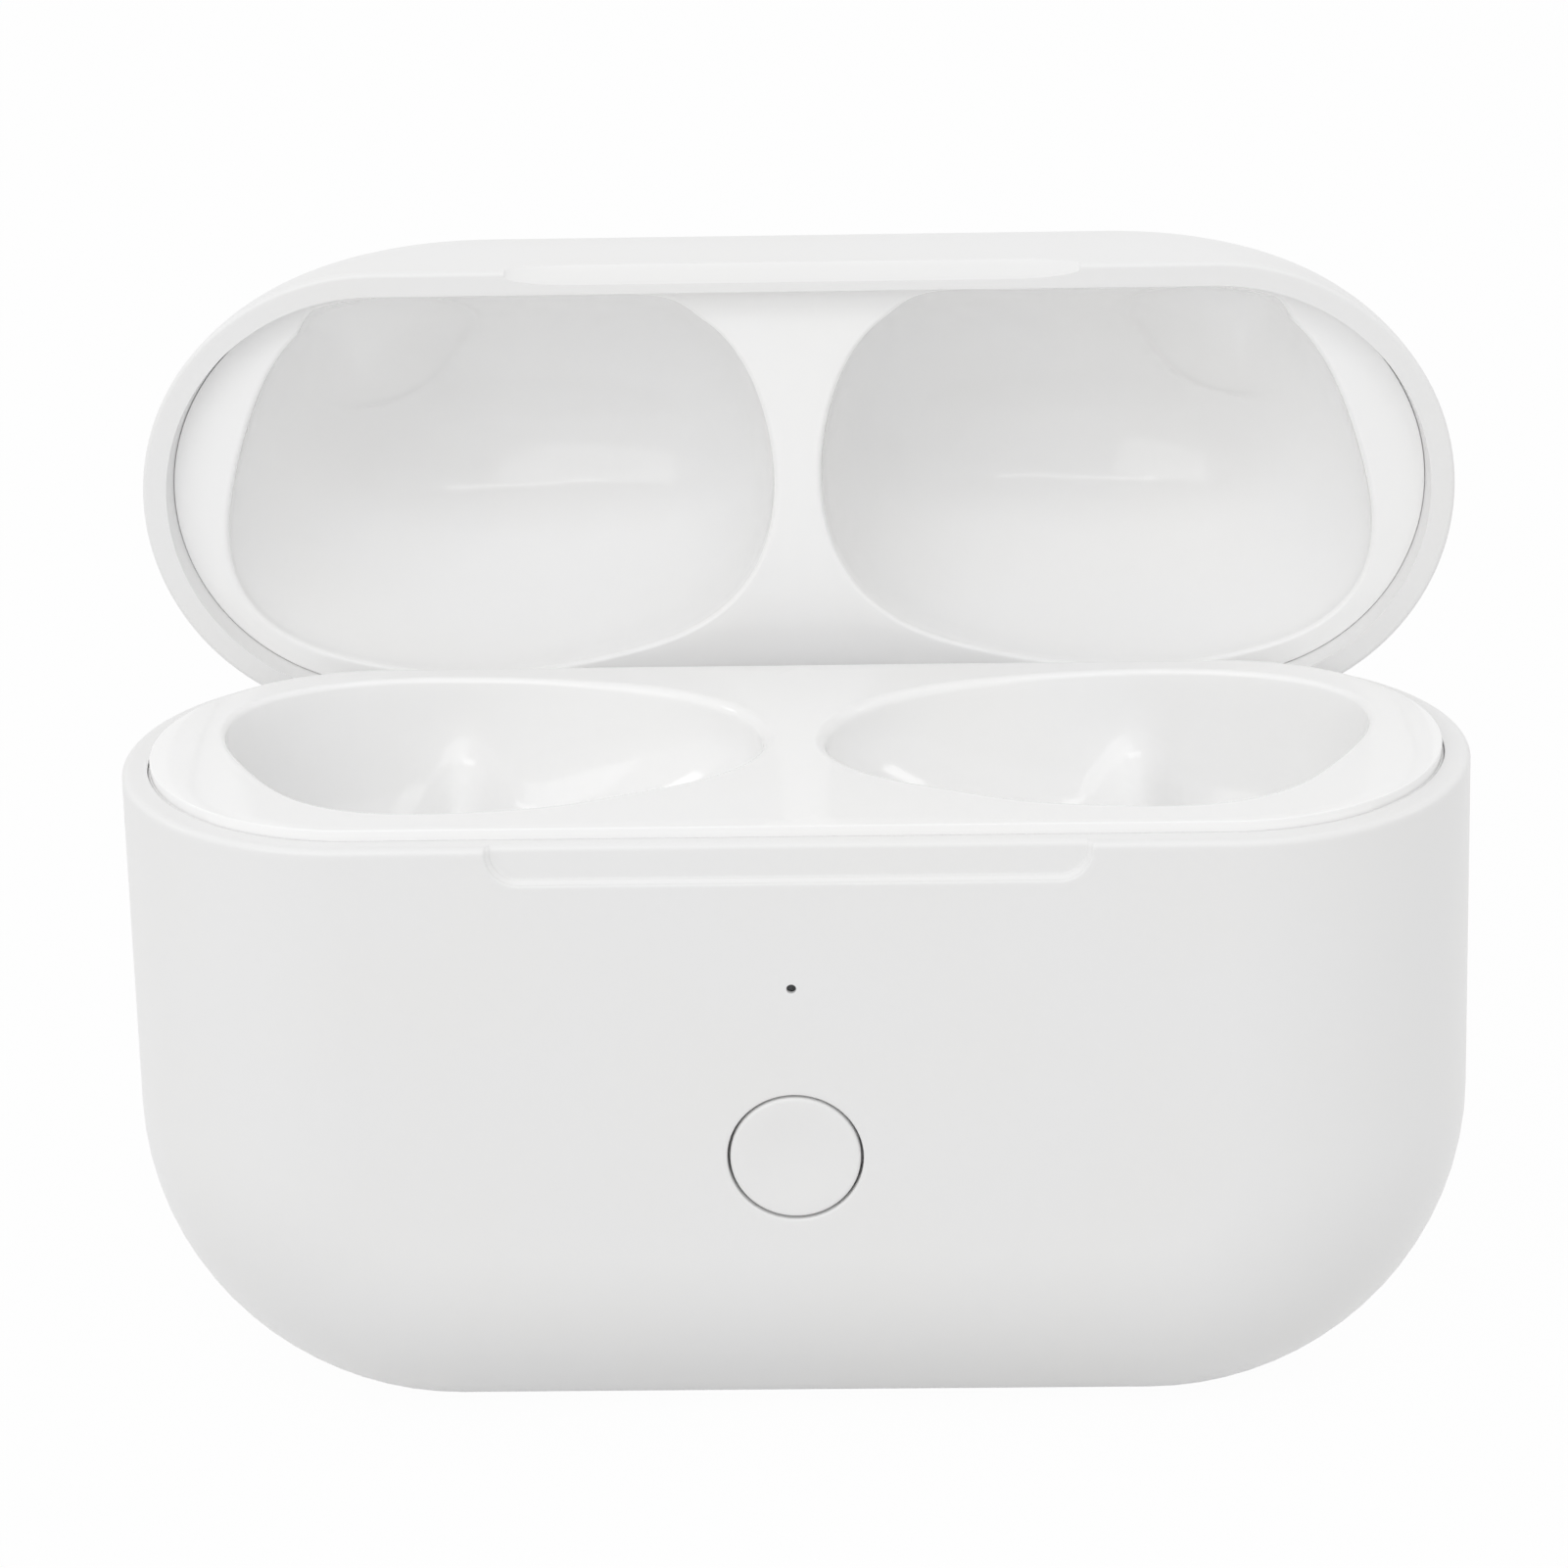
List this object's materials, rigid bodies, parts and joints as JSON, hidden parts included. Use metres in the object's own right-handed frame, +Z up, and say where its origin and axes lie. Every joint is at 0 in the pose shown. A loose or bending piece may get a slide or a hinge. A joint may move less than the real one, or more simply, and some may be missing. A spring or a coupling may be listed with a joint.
{
  "type": "wireless earbuds case",
  "caption": "Pocket charging case with rounded ends, a hinged lid shown open, egg-shaped wells with stem bores for earbuds, a front push button and a charge port in the foot.",
  "frame": {"origin": "middle of the flat foot that the case stands on, at the mouth of the charge port", "axes": "+X to the case's right along its length, +Y to its back where the lid opens, +Z up out of the wells"},
  "size_m": [0.0606, 0.0365, 0.0488],
  "materials": {
    "white_shell": "fine satin moulded white",
    "white_liner": "polished moulded white",
    "hinge_steel": "brushed stainless",
    "spring_steel": "cold rolled strip",
    "screw_steel": "zinc plated",
    "magnet_plating": "nickel plated",
    "black_plastic": "moulded black",
    "silicone": "soft translucent white",
    "green_laminate": "solder masked laminate",
    "led_package": "pale yellow lens",
    "clear_plastic": "smoked clear light guide",
    "battery_foil": "dull laminated foil",
    "nickel": "rolled strip",
    "foam": "open cell foam",
    "copper": "enamelled wire",
    "ferrite": "dull sintered sheet",
    "port_steel": "drawn sleeve",
    "flex_film": "amber film",
    "gold_plate": "gold plated"
  },
  "bodies": {
    "base": {"base_shell": "white_shell", "base_cradle": "white_liner", "hinge_base_bracket": "hinge_steel", "hinge_pin": "hinge_steel", "hinge_detent_spring": "spring_steel", "base_hinge_screws": "screw_steel", "base_latch_magnets": "magnet_plating", "bud_magnets": "magnet_plating", "stem_magnets": "magnet_plating", "switch_body": "black_plastic", "button_seal": "silicone", "main_board": "green_laminate", "status_led": "led_package", "light_pipe": "clear_plastic", "hall_sensor": "black_plastic", "board_chips": "black_plastic", "battery_cell": "battery_foil", "battery_tabs": "nickel", "battery_pad": "foam", "charging_coil": "copper", "ferrite_sheet": "ferrite", "port_shell": "port_steel", "port_tongue": "black_plastic", "port_trim_ring": "port_steel", "port_board": "green_laminate", "port_flex": "flex_film", "contact_barrels": "gold_plate", "contact_flex_left": "flex_film", "contact_flex_right": "flex_film"},
    "lid": {"lid_shell": "white_shell", "lid_liner": "white_liner", "hinge_lid_leaf": "hinge_steel", "lid_hinge_screws": "screw_steel", "lid_latch_magnets": "magnet_plating", "lid_sensor_magnet": "magnet_plating"},
    "button": {"button_cap": "white_shell", "switch_plunger": "black_plastic"},
    "contact_pin_left_front": {"contact_pin_left_front": "gold_plate"},
    "contact_pin_left_rear": {"contact_pin_left_rear": "gold_plate"},
    "contact_pin_right_front": {"contact_pin_right_front": "gold_plate"},
    "contact_pin_right_rear": {"contact_pin_right_rear": "gold_plate"}
  },
  "joints": [
    {"name": "lid_hinge", "type": "hinge", "parent": "base", "child": "lid", "pos_m": [0, 0.00965, 0.02828], "axis": [1, 0, 0], "range_deg": [0, 90.9]},
    {"name": "button_press", "type": "slide", "parent": "base", "child": "button", "axis": [0, 1, 0], "range_m": [0, 0.00025], "stiffness_N_per_m": 3000},
    {"name": "contact_press_left_front", "type": "slide", "parent": "base", "child": "contact_pin_left_front", "axis": [0, 0, -1], "range_m": [0, 0.0006], "stiffness_N_per_m": 600},
    {"name": "contact_press_left_rear", "type": "slide", "parent": "base", "child": "contact_pin_left_rear", "axis": [0, 0, -1], "range_m": [0, 0.0006], "stiffness_N_per_m": 600},
    {"name": "contact_press_right_front", "type": "slide", "parent": "base", "child": "contact_pin_right_front", "axis": [0, 0, -1], "range_m": [0, 0.0006], "stiffness_N_per_m": 600},
    {"name": "contact_press_right_rear", "type": "slide", "parent": "base", "child": "contact_pin_right_rear", "axis": [0, 0, -1], "range_m": [0, 0.0006], "stiffness_N_per_m": 600}
  ]
}
